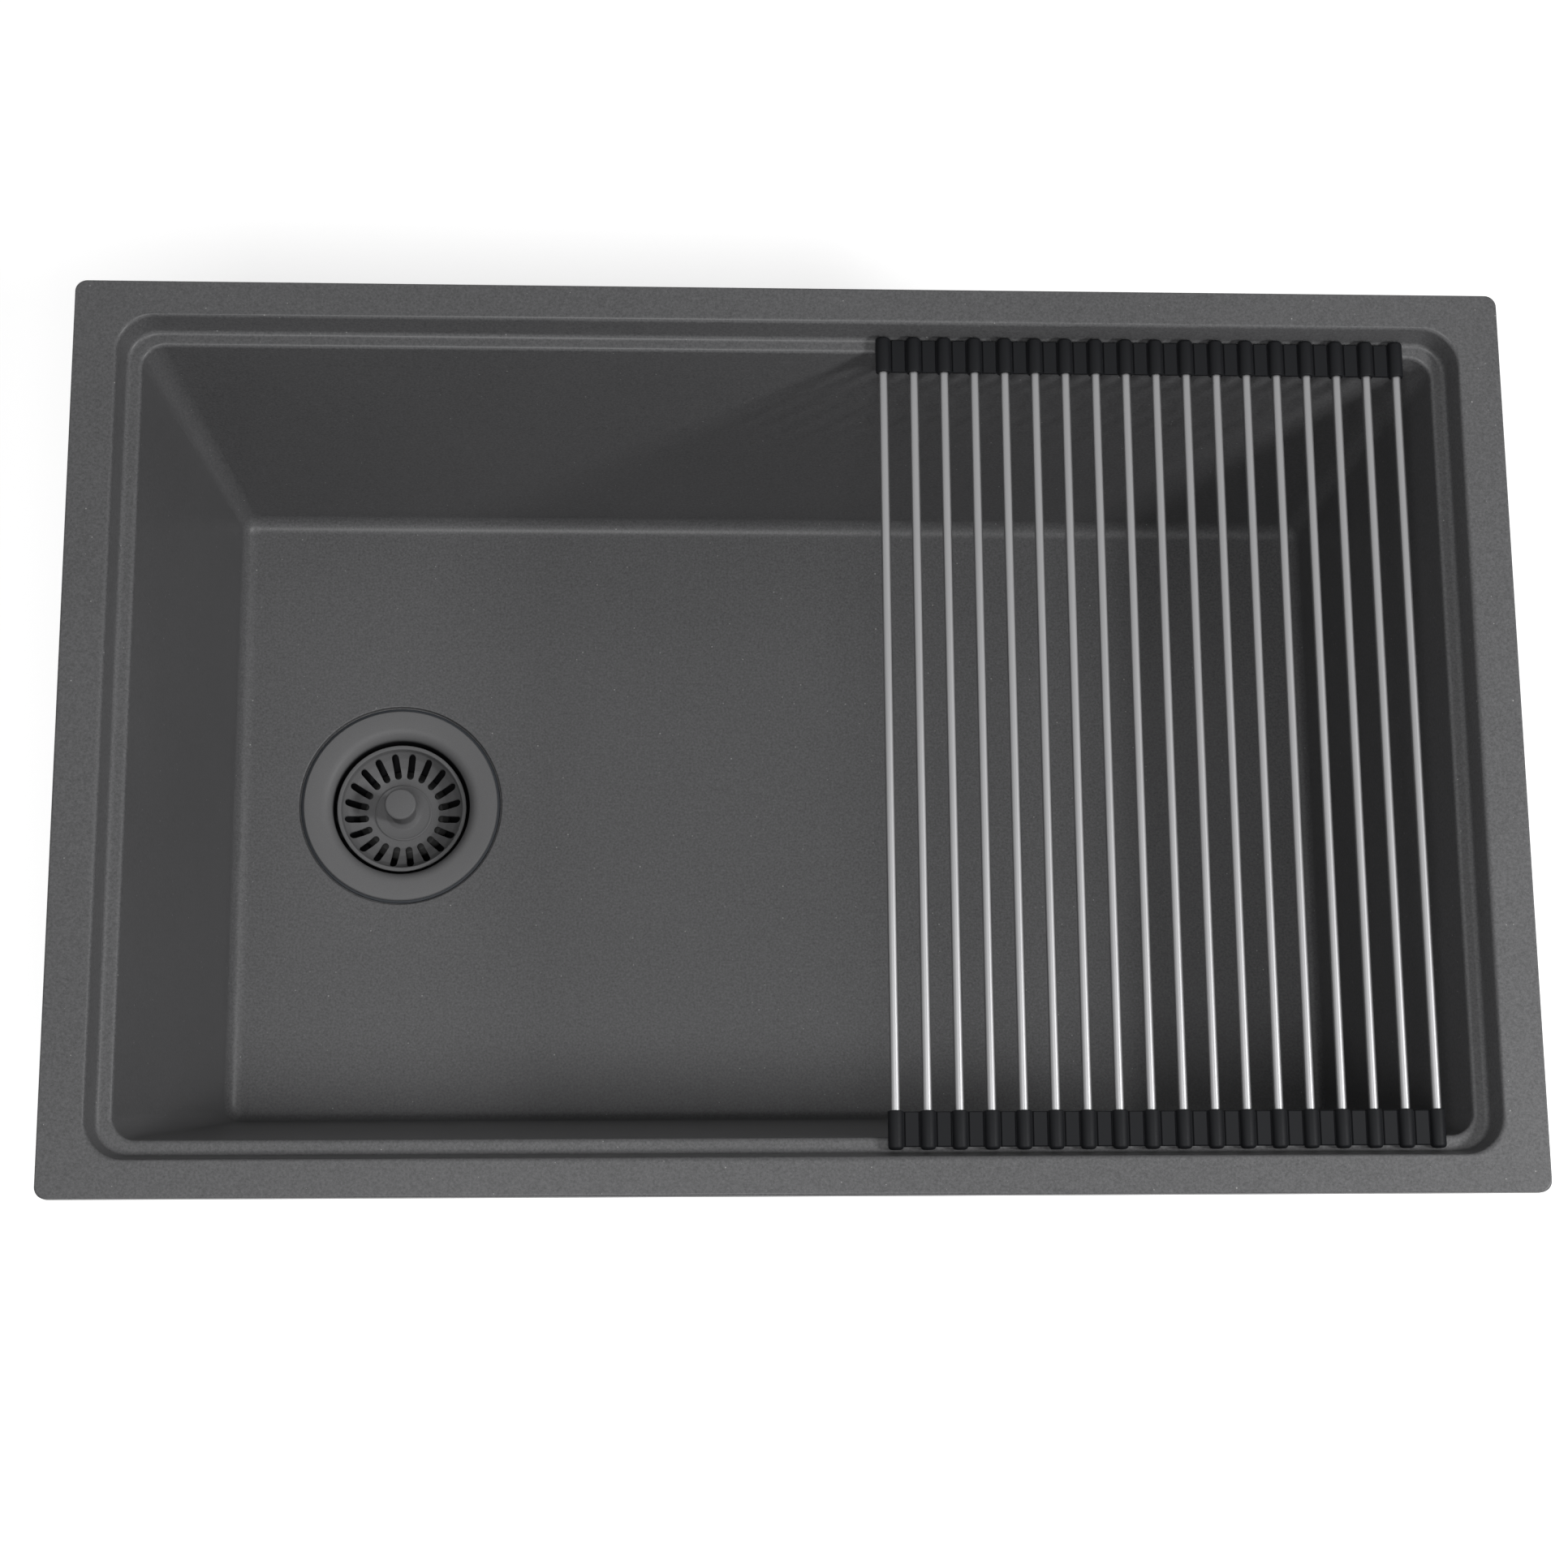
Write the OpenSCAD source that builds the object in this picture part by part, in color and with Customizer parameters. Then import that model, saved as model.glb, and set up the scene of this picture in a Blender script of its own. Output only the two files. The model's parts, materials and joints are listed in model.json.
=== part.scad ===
// Workstation kitchen sink: a moulded quartz-composite basin with a stepped
// ledge, a basket strainer drain and a roll-up rack of steel rods.
// Millimetres. Origin: centre of the rim's outline, in the plane of the rim's
// underside, which is the top of the worktop. +X right, +Y to the back, +Z up.

/* [Rim] */
// Rim's outline, left to right
sink_w = 762; // [610:1:915]
// Rim's outline, front to back
sink_d = 483; // [400:1:580]
// Rim's thickness above the worktop
rim_t = 8; // [5:0.5:14]
// Flat width of the rim at the left and right
rim_side = 23; // [19:0.5:40]
// Flat width of the rim at the front and back
rim_front = 19.5; // [16:0.5:40]
// Corner radius of the rim's outline
rim_corner_r = 6; // [2:0.5:20]

/* [Ledge] */
// Depth of the ledge below the rim's top
step_h = 16; // [12:0.5:24]
// How far the step's wall leans in over its height
step_lean = 3.2; // [1:0.1:5]
// Flat width of the ledge
ledge_w = 7.8; // [5:0.1:14]
// Corner radius of the opening at the rim's top
opening_r = 20; // [14:0.5:30]
// Corner radius of the ledge's outer edge
ledge_outer_r = 17; // [10:0.5:26]
// Corner radius of the ledge's inner edge
ledge_inner_r = 12; // [6:0.5:20]

/* [Bowl] */
// Depth from the rim's top to the bowl's floor
bowl_depth = 229; // [170:1:280]
// How far the left and right walls lean in over the bowl's depth
lean_side = 28; // [10:0.5:36]
// How far the front and back walls lean in over the bowl's depth
lean_front = 30.5; // [10:0.5:36]
// Fillet between the walls and the floor
floor_fillet = 9; // [6:0.5:24]
// Wall thickness
wall_t = 9; // [7:0.5:14]
// Floor thickness
floor_t = 12; // [9:0.5:18]

/* [Drain] */
// Drain's centre, from the foot of the left wall
drain_from_wall = 96; // [80:0.5:160]
// Drain's centre, behind the bowl's middle
drain_back = 6; // [-40:0.5:40]
// Hole through the floor, diameter
drain_hole_d = 89; // [88:0.5:92]
// Strainer's flange, diameter
flange_d = 114.3; // [112:0.1:118]
// Sealing ring under the flange, diameter
seal_ring_d = 117.4; // [116:0.1:120]
// Pocket that the flange sits in, diameter
pocket_d = 119; // [118.5:0.1:124]
// Pocket's depth
pocket_h = 3; // [2.5:0.1:4]
// Threaded cup of the strainer, outside diameter
cup_d = 84.8; // [83:0.1:86]
// Wall of the strainer's cup
cup_wall = 2; // [1.5:0.1:3]
// Tailpiece tube, outside diameter
tail_d = 38.1; // [31.8:0.1:46]
// Tailpiece's length below its flange
tail_l = 102; // [60:1:160]

/* [Basket] */
// Basket's rim ring, outside diameter
basket_d = 76.4; // [72:0.1:78]
// Slots around the basket
slot_count = 20; // [12:1:24]
// Width of a slot
slot_w = 4.2; // [2:0.1:5]
// Diameter of the knob's head
knob_d = 18.6; // [14:0.1:24]
// Height of the knob above the basket's floor
knob_h = 27; // [18:0.5:34]

/* [Rack] */
// Number of rods
rod_count = 18; // [8:1:18]
// Rod diameter
rod_d = 5; // [4:0.1:6]
// Distance from one rod to the next
rod_pitch = 16.4; // [14:0.1:20]
// Front-to-back width of a silicone end strip
strip_w = 19.8; // [14:0.1:30]
// Outside diameter of the sleeve around a rod's end
sleeve_d = 8; // [7:0.1:10]
// Thickness of the web between two sleeves
web_t = 2.6; // [1.5:0.1:4]
// Space between the rack's last rod and the ledge's right end
rack_from_right = 28; // [22:0.1:60]

/* [Fixings] */
// Clips along the front, and as many along the back
clips_long = 3; // [2:1:5]
// Clips along the left, and as many along the right
clips_short = 2; // [1:1:3]
// Distance between clips along the front and back
clip_pitch_long = 220; // [120:5:300]
// Distance between clips along the left and right
clip_pitch_short = 180; // [80:5:200]
// Thickest worktop that the clips grip
worktop_t = 30; // [24:1:40]
// Outside diameter of a threaded insert
insert_d = 7; // [6:0.1:8]
// Length of a threaded insert, less than the shoulder's height
insert_l = 9; // [7:0.5:9.5]
// Clip screw, diameter
screw_d = 4; // [3:0.1:5]

/* [Hidden] */
$fn = 96;
hull_fn = 32;
eps = 0.01;
// a resting piece lies this far above what carries it
rest_gap = 0.3;
// radial play of a piece that slides in a hole
slide_play = 0.08;
// radial play of a part that is dropped in place and tightened
loose_play = 0.4;
// radial play between a thread and its nut
thread_play = 0.05;
// radial play of a part pressed onto the basket's post
press_play = 0.02;

RODS = [for (i = [1:rod_count]) str("rack_rod_", i < 10 ? "0" : "", i)];
GRIPS = [for (i = [1:rod_count]) str("rack_grip_", i < 10 ? "0" : "", i)];

// heights
ledge_z = rim_t - step_h;
floor_z = rim_t - bowl_depth;
under_z = floor_z - floor_t;
shoulder_h = 10;
shoulder_z = ledge_z - shoulder_h;

// half widths and half depths of the opening, the ledge and the bowl's mouth
open_x = sink_w/2 - rim_side;
open_y = sink_d/2 - rim_front;
ledge_x = open_x - step_lean;
ledge_y = open_y - step_lean;
mouth_x = ledge_x - ledge_w;
mouth_y = ledge_y - ledge_w;
// the outside of the casting under the rim, beside the stepped opening
shoulder_t = 11;
shoulder_x = open_x + shoulder_t;
shoulder_y = open_y + shoulder_t;
shoulder_r = ledge_outer_r + 8;
// centres of the fillet at the foot of the bowl's corners
foot_x = mouth_x - lean_side - fillet_run(lean_side);
foot_y = mouth_y - lean_front - fillet_run(lean_front);
// fixings, halfway between the wall's outside and the shoulder's outside
fixing_x = (shoulder_x + mouth_x + wall_t)/2;
fixing_y = (shoulder_y + mouth_y + wall_t)/2;

drain_x = lean_side - mouth_x + drain_from_wall;
drain_y = drain_back;

// levels of the drain, from the bowl's floor
ring_t = 1.2;
flange_t = 2;
pocket_z = -pocket_h;
flange_z = pocket_z + ring_t;
washer_t = 4;
friction_t = 1.2;
nut_t = 10;
cup_r = cup_d/2;
cup_in = cup_r - cup_wall;
cup_end = -floor_t - washer_t - friction_t - nut_t - 4;
seat_z = cup_end - 7;
outlet_r = tail_d/2 + 0.45;
seat_r = outlet_r + 4.5;
nipple_r = outlet_r + 4.4;
neck_z = seat_z - 6;
hub_r = 7;
hub_z = seat_z - 12;
hub_t = 6;
arm_t = 3;
nipple_z = seat_z - 34;
tail_washer_t = 2;
tail_flange_t = 1.6;
tail_flange_r = nipple_r - 0.7;
tail_wall = 1.2;
// lip of the coupling nut, and the foot of the tailpiece's neck that the lip turns on
nut_lip_t = 3;
swage_z = nipple_z - tail_washer_t - tail_flange_t - nut_lip_t - 1.5;

// basket levels, from the bowl's floor
basket_r = basket_d/2;
basket_top = -9;
basket_floor = -24;
basket_t = 1.4;
basket_lip = 2.4;
boss_r = 9;
boss_l = 5;
floor_r = basket_r - 16.7;
plate_r = floor_r - 4.5;
post_r = 4 - slide_play;
stopper_r = seat_r + 3;
stopper_t = 4.5;
stopper_z = basket_floor - boss_l;
// top of the seat's slope: its radius, and its height above the seat
slope_r = cup_in - 4;
slope_h = 10;

// the rack: its strips stop short of the step's wall, and the rods short of the strips' ends
strip_play = 1;
sleeve_end = 2.8;
rack_end_x = ledge_x - rack_from_right;
strip_y = ledge_y - strip_play;
rod_l = 2*(strip_y - sleeve_end);
rack_z = ledge_z + rest_gap + sleeve_d/2;
web_top = 1.1;
web_gap = 0.4;
web_inset = 0.7;

// clips: plate thickness, width, and how far the plate reaches in and out from its screw
clip_t = 2;
clip_w = 20;
clip_in = 4.5;
clip_out = 5.5;
// how far the clips' feet stop short of the rim's edge
foot_back = 3.5;

function rod_x(i) = rack_end_x - (rod_count - i)*rod_pitch;

// distance from the corner of a leaning wall and the floor to the end of their fillet
function fillet_run(lean) = floor_fillet/tan(45 + atan(lean/(bowl_depth - step_h))/2);

// height of the seat's slope under the stopper's rim, with the resting gap
function stopper_seat_z() =
    seat_z + (stopper_r - seat_r)*slope_h/(slope_r - seat_r) + rest_gap + 0.1;

// ---- helpers ----------------------------------------------------------------

// upright block with rounded corners, its foot at z = 0; half sizes x and y
module rounded_block(x, y, r, h) {
    linear_extrude(h) {
        square([2*(x - r), 2*y], center = true);
        square([2*x, 2*(y - r)], center = true);
        for (sx = [-1, 1], sy = [-1, 1])
            translate([sx*(x - r), sy*(y - r)]) circle(r);
    }
}

// thin slab with rounded corners at height z, for a hull
module slab(x, y, r, z) {
    for (sx = [-1, 1], sy = [-1, 1])
        translate([sx*(x - r), sy*(y - r), z]) cylinder(r = r, h = eps, $fn = hull_fn);
}

// four quarter-round feet whose lowest points lie at height z, for a hull
module feet(x, y, r, z) {
    steps = 6;
    arc = [for (i = [0:steps]) let(a = 90*i/steps) [r*sin(a), r - r*cos(a)]];
    for (sx = [-1, 1], sy = [-1, 1])
        translate([sx*x, sy*y, z])
            rotate_extrude($fn = hull_fn) polygon(concat(arc, [[0, r]]));
}

// ring between radii r1 and r2, its foot at height z
module ring(r1, r2, z, h) {
    translate([0, 0, z]) difference() {
        cylinder(r = r2, h = h);
        translate([0, 0, -1]) cylinder(r = r1, h = h + 2);
    }
}

// puts children at the drain's centre, with z = 0 in the bowl's floor
module at_drain() {
    translate([drain_x, drain_y, floor_z]) children();
}

// puts children under the shoulder at each fixing, turned so that +X is outwards
module at_fixings() {
    for (s = [-1, 1]) {
        for (i = [0:clips_long - 1])
            translate([(i - (clips_long - 1)/2)*clip_pitch_long, s*fixing_y, shoulder_z])
                rotate(s*90) children();
        for (i = [0:clips_short - 1])
            translate([s*fixing_x, (i - (clips_short - 1)/2)*clip_pitch_short, shoulder_z])
                rotate(90 - s*90) children();
    }
}

// ---- basin: one casting, made as two pieces that meet at the level of the ledge ----

// the rim and the wall of the step, down to the level of the ledge
module basin_rim() {
    lean = step_lean/step_h;
    color([0.27, 0.27, 0.28])
    difference() {
        union() {
            rounded_block(sink_w/2, sink_d/2, rim_corner_r, rim_t);
            translate([0, 0, ledge_z])
                rounded_block(shoulder_x, shoulder_y, shoulder_r, -ledge_z + eps);
        }
        hull() {
            slab(open_x + lean, open_y + lean, opening_r, rim_t + 1);
            slab(ledge_x - lean, ledge_y - lean, ledge_outer_r, ledge_z - 1);
        }
    }
}

// the shoulder with the ledge on top, and the bowl below it, whose top face lies against the rim
module basin_bowl() {
    color([0.27, 0.27, 0.28])
    difference() {
        union() {
            translate([0, 0, shoulder_z])
                rounded_block(shoulder_x, shoulder_y, shoulder_r, shoulder_h);
            hull() {
                slab(mouth_x + wall_t, mouth_y + wall_t, ledge_inner_r + wall_t, shoulder_z + 1);
                feet(foot_x, foot_y, floor_fillet + wall_t, under_z);
            }
        }
        hull() {
            slab(mouth_x, mouth_y, ledge_inner_r, ledge_z + 1);
            feet(foot_x, foot_y, floor_fillet, floor_z);
        }
        at_drain() {
            translate([0, 0, pocket_z]) cylinder(d = pocket_d, h = pocket_h + 1);
            translate([0, 0, -floor_t - 1]) cylinder(d = drain_hole_d, h = floor_t + 2);
        }
        at_fixings()
            translate([0, 0, -1]) cylinder(d = insert_d, h = insert_l + 1);
    }
}

module threaded_inserts() {
    color([0.75, 0.6, 0.3])
    at_fixings()
        ring(screw_d/2, insert_d/2, 0, insert_l);
}

// Z-shaped clip: a plate under the shoulder, a leg beside the worktop's edge and a foot under it
module mounting_clips() {
    drop = worktop_t + shoulder_z;
    reach = sink_d/2 - fixing_y - foot_back;
    color([0.7, 0.7, 0.72])
    at_fixings()
        difference() {
            union() {
                translate([-clip_in, -clip_w/2, -clip_t])
                    cube([clip_in + clip_out, clip_w, clip_t]);
                translate([clip_out - clip_t, -clip_w/2, -drop - clip_t])
                    cube([clip_t, clip_w, drop + clip_t]);
                translate([clip_out - clip_t, -clip_w/2, -drop - clip_t])
                    cube([reach - clip_out + clip_t, clip_w, clip_t]);
            }
            translate([0, 0, -clip_t - 1]) cylinder(d = screw_d + 0.4, h = clip_t + 2);
        }
}

module clip_screws() {
    head_r = 3.2;
    head_t = 2.6;
    color([0.75, 0.75, 0.77])
    at_fixings() {
        translate([0, 0, -clip_t - eps]) cylinder(d = screw_d - 0.2, h = clip_t + insert_l - 1);
        difference() {
            translate([0, 0, -clip_t - head_t]) cylinder(r = head_r, h = head_t);
            for (turn = [0, 90])
                rotate(turn) translate([-2, -0.4, -clip_t - head_t - 1]) cube([4, 0.8, 2.2]);
        }
    }
}

// ---- drain ------------------------------------------------------------------

module drain_sealing_ring() {
    color([0.10, 0.12, 0.14])
    at_drain() ring(drain_hole_d/2, seal_ring_d/2, pocket_z, ring_t);
}

module strainer_body() {
    flange_top = flange_z + flange_t;
    flange_r = flange_d/2;
    color([0.30, 0.30, 0.31])
    at_drain() {
        rotate_extrude() polygon([
            // inside, from the outlet up
            [outlet_r, nipple_z], [outlet_r, neck_z], [seat_r, seat_z - 2],
            [seat_r, seat_z], [slope_r, seat_z + slope_h], [cup_in, seat_z + 15],
            [cup_in, -8], [cup_in + 0.6, -5], [cup_in + 2.6, -1.8], [cup_in + 6, flange_top],
            // flange and outside, down again
            [flange_r - 1, flange_top], [flange_r, flange_top - 0.8], [flange_r, flange_z],
            [cup_r, flange_z], [cup_r, cup_end], [cup_r - 6, cup_end - 4],
            [seat_r + cup_wall, seat_z - 2], [nipple_r, neck_z], [nipple_r, nipple_z]
        ]);
        // cross with the hub that guides the basket's post
        ring(post_r + slide_play, hub_r, hub_z, hub_t);
        for (turn = [0, 90])
            rotate(turn) difference() {
                translate([-outlet_r - 0.5, -arm_t/2, hub_z])
                    cube([2*outlet_r + 1, arm_t, hub_t]);
                translate([0, 0, hub_z - 1]) cylinder(r = hub_r - 0.5, h = hub_t + 2);
            }
    }
}

module drain_rubber_washer() {
    color([0.08, 0.08, 0.08])
    at_drain() ring(cup_r + loose_play, cup_r + 11.6, -floor_t - washer_t, washer_t);
}

module drain_friction_ring() {
    color([0.72, 0.66, 0.52])
    at_drain()
        ring(cup_r + loose_play, cup_r + 9.6, -floor_t - washer_t - friction_t, friction_t);
}

module drain_locknut() {
    z = -floor_t - washer_t - friction_t - nut_t;
    nut_r = cup_r + 6.6;
    lugs = 8;
    color([0.62, 0.62, 0.63])
    at_drain() {
        ring(cup_r + thread_play, nut_r, z, nut_t);
        // lugs for the spanner
        for (i = [0:lugs - 1])
            rotate(i*360/lugs) translate([nut_r - 0.5, -5, z]) cube([5, 10, nut_t - 3]);
    }
}

module coupling_nut() {
    nut_h = 20;
    nut_r = nipple_r + 5.1;
    ribs = 12;
    z = nipple_z - tail_washer_t - tail_flange_t - nut_lip_t;
    color([0.12, 0.12, 0.13])
    at_drain() {
        // lip under the tailpiece's flange, then the threaded wall
        ring(tail_d/2 + loose_play, nut_r, z, nut_lip_t);
        ring(nipple_r + thread_play, nut_r, z + nut_lip_t, nut_h - nut_lip_t);
        // grip ribs
        for (i = [0:ribs - 1])
            rotate(i*360/ribs) translate([nut_r - 0.5, -2.5, z]) cube([3, 5, nut_h - 2]);
    }
}

module tailpiece_washer() {
    color([0.85, 0.85, 0.83])
    at_drain()
        ring(tail_d/2 - tail_wall, tail_flange_r, nipple_z - tail_washer_t, tail_washer_t);
}

module tailpiece() {
    z = nipple_z - tail_washer_t;
    in_r = tail_d/2 - tail_wall;
    tube_l = swage_z - z + tail_l;
    color([0.74, 0.75, 0.76])
    at_drain() {
        ring(in_r, tail_flange_r, z - tail_flange_t, tail_flange_t);
        // neck under the flange, a little wider than the tube
        ring(in_r, tail_d/2 + loose_play/2, swage_z, z - tail_flange_t - swage_z + eps);
        ring(in_r, tail_d/2, z - tail_l, tube_l + eps);
    }
}

// ---- basket -----------------------------------------------------------------

// one upright slot through the basket's sloping side
module basket_slot() {
    in_r = floor_r + 1.4;
    out_r = basket_r - 5.6;
    translate([0, 0, basket_floor - 4]) linear_extrude(20) {
        translate([in_r, -slot_w/2]) square([out_r - in_r, slot_w]);
        translate([in_r, 0]) circle(d = slot_w, $fn = 24);
        translate([out_r, 0]) circle(d = slot_w, $fn = 24);
    }
}

module basket_cup() {
    lip_r = basket_r - basket_lip;
    color([0.27, 0.27, 0.28])
    at_drain() difference() {
        rotate_extrude() polygon([
            // inside, from the post up to the rim
            [post_r + press_play, basket_floor], [floor_r, basket_floor],
            [floor_r + 5, basket_floor + 1.6], [basket_r - 6, basket_floor + 6],
            [lip_r - 0.6, basket_top - 5], [lip_r, basket_top],
            // over the rim and down the outside
            [basket_r, basket_top], [basket_r, basket_top - 1.6],
            [lip_r + basket_t, basket_top - 2.4], [lip_r + basket_t - 0.6, basket_top - 5],
            [basket_r - 5.2, basket_floor + 4.8], [floor_r + 5.6, basket_floor + 0.2],
            [floor_r + 0.3, basket_floor - basket_t],
            // boss round the post
            [boss_r, basket_floor - basket_t], [boss_r, stopper_z],
            [post_r + press_play, stopper_z]
        ]);
        for (i = [0:slot_count - 1])
            rotate((i + 0.5)*360/slot_count) basket_slot();
    }
}

module basket_post() {
    head_r = knob_d/2;
    z = basket_floor;
    color([0.30, 0.30, 0.31])
    at_drain()
        rotate_extrude() polygon([
            // pin through the floor and the hub
            [0, hub_z - 2], [post_r - 1, hub_z - 2], [post_r, hub_z - 1],
            [post_r, z],
            // round plate on the basket's floor
            [plate_r, z], [plate_r, z + 0.8], [plate_r - 0.8, z + 1.2],
            [plate_r - 1.8, z + 0.9], [9.4, z + 0.9],
            // stem and head
            [7.4, z + 3], [7.2, z + knob_h - 4], [head_r - 0.6, z + knob_h - 3.4],
            [head_r, z + knob_h - 2.8], [head_r, z + knob_h - 0.9],
            [head_r - 0.9, z + knob_h], [0, z + knob_h + 0.3]
        ]);
}

module basket_stopper() {
    z = stopper_z;
    rim_z = stopper_seat_z();
    color([0.07, 0.07, 0.07])
    at_drain()
        rotate_extrude() polygon([
            [post_r + press_play, z], [stopper_r - 4, z], [stopper_r, z - 2],
            // the foot of the rim hangs over the seat's slope
            [stopper_r, rim_z], [stopper_r - 3, rim_z - 1],
            [12, z - stopper_t], [post_r + press_play, z - stopper_t]
        ]);
}

module basket_retaining_ring() {
    color([0.75, 0.75, 0.77])
    at_drain() ring(post_r + press_play, boss_r, stopper_z - stopper_t - 1.5, 1.5);
}

// ---- rack -------------------------------------------------------------------

module rack_rod(i) {
    color([0.78, 0.78, 0.79])
    translate([rod_x(i), -rod_l/2, rack_z]) rotate([-90, 0, 0]) cylinder(d = rod_d, h = rod_l);
}

// the two pieces of the end strips that hold rod i: a sleeve with half a web on each side
module rack_grip(i) {
    web_l = rod_pitch/2 - web_gap/2;
    color([0.10, 0.10, 0.11])
    for (s = [-1, 1])
        translate([rod_x(i), s*(strip_y - strip_w/2), rack_z]) difference() {
            union() {
                translate([0, -strip_w/2, 0]) rotate([-90, 0, 0])
                    cylinder(d = sleeve_d, h = strip_w);
                for (side = [-1, 1])
                    if ((side < 0 && i > 1) || (side > 0 && i < rod_count))
                        translate([side > 0 ? 0 : -web_l, -strip_w/2 + web_inset, web_top - web_t])
                            cube([web_l, strip_w - 2*web_inset, web_t]);
            }
            // blind hole for the rod, open towards the rack's middle
            translate([0, -s*(strip_y - strip_w/2), 0]) rotate([-90, 0, 0])
                translate([0, 0, -rod_l/2]) cylinder(d = rod_d, h = rod_l);
        }
}

basin_rim();
basin_bowl();
threaded_inserts();
mounting_clips();
clip_screws();
drain_sealing_ring();
strainer_body();
drain_rubber_washer();
drain_friction_ring();
drain_locknut();
coupling_nut();
tailpiece_washer();
tailpiece();
basket_cup();
basket_post();
basket_stopper();
basket_retaining_ring();
for (i = [1:rod_count]) {
    rack_rod(i);
    rack_grip(i);
}
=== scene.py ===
import json
import math

import bmesh
import bpy
import numpy as np
from mathutils import Matrix, Vector


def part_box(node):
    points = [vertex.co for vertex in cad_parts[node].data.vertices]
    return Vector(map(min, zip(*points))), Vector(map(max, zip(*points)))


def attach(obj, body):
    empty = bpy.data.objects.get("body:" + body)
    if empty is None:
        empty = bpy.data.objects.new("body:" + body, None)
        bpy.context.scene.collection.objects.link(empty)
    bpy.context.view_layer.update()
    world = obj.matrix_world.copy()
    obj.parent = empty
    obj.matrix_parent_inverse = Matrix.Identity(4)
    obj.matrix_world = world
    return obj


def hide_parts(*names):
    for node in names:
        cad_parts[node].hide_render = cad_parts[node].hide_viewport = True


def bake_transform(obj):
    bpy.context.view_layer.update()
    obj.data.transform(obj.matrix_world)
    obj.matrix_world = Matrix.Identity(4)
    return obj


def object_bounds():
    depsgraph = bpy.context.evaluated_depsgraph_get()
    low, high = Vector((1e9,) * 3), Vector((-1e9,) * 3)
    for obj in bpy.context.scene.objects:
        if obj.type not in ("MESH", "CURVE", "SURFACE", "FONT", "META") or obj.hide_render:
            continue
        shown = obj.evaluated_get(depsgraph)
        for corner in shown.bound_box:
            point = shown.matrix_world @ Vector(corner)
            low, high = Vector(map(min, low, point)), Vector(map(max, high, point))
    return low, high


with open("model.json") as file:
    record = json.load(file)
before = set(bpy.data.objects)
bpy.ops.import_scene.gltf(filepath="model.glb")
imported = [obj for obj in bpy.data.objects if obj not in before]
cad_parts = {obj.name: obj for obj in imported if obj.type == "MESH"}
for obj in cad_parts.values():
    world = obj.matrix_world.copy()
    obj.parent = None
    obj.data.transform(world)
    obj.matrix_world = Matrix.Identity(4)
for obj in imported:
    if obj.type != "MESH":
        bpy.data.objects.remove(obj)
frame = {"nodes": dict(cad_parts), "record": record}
cad_box = [list(corner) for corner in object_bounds()]
scene = bpy.context.scene


# ---- Camera --------------------------------------------------------------------------
# Nearly overhead and a little in front of the sink, so that the straight lines of the rim,
# the ledge and the bowl's floor fall as they do in the photograph, which is 1932 pixels wide.
PHOTO_W = 1932
FOCAL_PX = 3579.9
lens = bpy.data.cameras.new("camera")
lens.sensor_width = 36
lens.lens = FOCAL_PX / PHOTO_W * lens.sensor_width
camera = bpy.data.objects.new("camera", lens)
camera.location = (-0.0851, -0.3497, 1.4698)
camera.rotation_euler = (0.2150, -0.0509, -0.0085)
scene.collection.objects.link(camera)
scene.camera = camera


# ---- Light and floor -----------------------------------------------------------------
# A pale studio: a large softbox overhead in front, a smaller, stronger one on the right and
# an even fill from the world. The floor lies under the lowest point of the waste pipe.
scene.view_settings.view_transform = "Standard"


def add(tree, kind, inputs=None, **settings):
    """A node with its settings. An input is a value, or the socket that it is linked from."""
    node = tree.nodes.new(kind)
    for key, value in settings.items():
        setattr(node, key, value)
    for key, value in (inputs or {}).items():
        if isinstance(value, bpy.types.NodeSocket):
            tree.links.new(value, node.inputs[key])
        else:
            node.inputs[key].default_value = value
    return node


def math_node(tree, operation, *values):
    """What a Math node puts out for these values or sockets."""
    return add(tree, "ShaderNodeMath", dict(enumerate(values)), operation=operation).outputs[0]


def softbox(name, place, aim, size, watts):
    """A rectangular lamp at a place, turned towards its aim."""
    lamp = bpy.data.lights.new(name, "AREA")
    lamp.shape = "RECTANGLE"
    lamp.size, lamp.size_y = size
    lamp.energy = watts
    holder = bpy.data.objects.new(name, lamp)
    holder.location = place
    holder.rotation_euler = (Vector(aim) - Vector(place)).to_track_quat("-Z", "Y").to_euler()
    scene.collection.objects.link(holder)


def seen_ray(tree):
    """1 for the camera's rays and for those that metal and glass send on, or else 0."""
    path = add(tree, "ShaderNodeLightPath")
    camera_ray = path.outputs["Is Camera Ray"]
    glossy_ray = path.outputs["Is Glossy Ray"]
    glass_ray = path.outputs["Is Transmission Ray"]
    seen = math_node(tree, "MAXIMUM", camera_ray, glossy_ray)
    return math_node(tree, "MAXIMUM", seen, glass_ray)


IN_THE_BOWL = (0, 0, -0.1)
softbox("overhead", (-0.20, -0.70, 1.9), IN_THE_BOWL, (0.7, 0.5), 15)
softbox("right", (1.26, -0.40, 1.25), IN_THE_BOWL, (0.30, 0.30), 17)

world = bpy.data.worlds.new("studio")
world.use_nodes = True
sky = world.node_tree
background = sky.nodes["Background"]
background.inputs["Color"].default_value = (1, 1, 1, 1)
FILL = 0.08
fill_or_white = add(sky, "ShaderNodeMapRange", {"Value": seen_ray(sky), "To Min": FILL, "To Max": 1})
sky.links.new(fill_or_white.outputs[0], background.inputs["Strength"])
scene.world = world

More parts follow.
